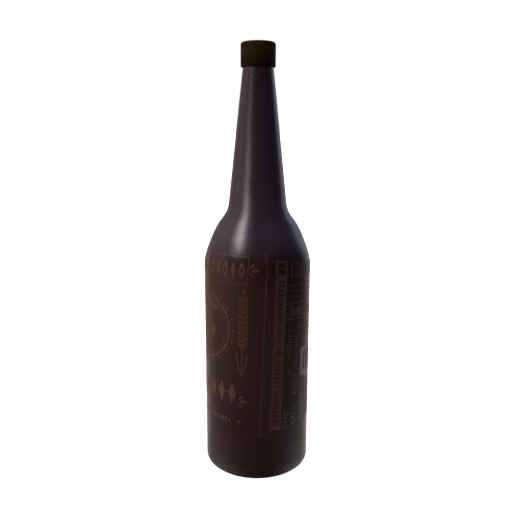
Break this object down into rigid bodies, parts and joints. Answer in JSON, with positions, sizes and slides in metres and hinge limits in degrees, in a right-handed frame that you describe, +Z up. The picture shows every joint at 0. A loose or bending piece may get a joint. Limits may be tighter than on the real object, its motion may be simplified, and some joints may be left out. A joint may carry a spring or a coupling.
{
  "type": "ale bottle",
  "caption": "Tall long-neck glass bottle for ale or mead, shut with a plain cup-shaped cap, its body printed all round.",
  "frame": {"origin": "centre of the foot, on the floor", "axes": "+Z up along the bottle's axis, +X to the right of the seen face, -Y towards the viewer"},
  "size_m": [0.0804, 0.0804, 0.3188],
  "materials": {
    "glass": "glossy, dark plum-brown, reads as opaque",
    "cap": "matt dark bronze lacquer",
    "print": "satin gold-brown ink printed on the glass"
  },
  "bodies": {
    "root": {"bottle": "glass", "cap": "cap"}
  },
  "joints": []
}
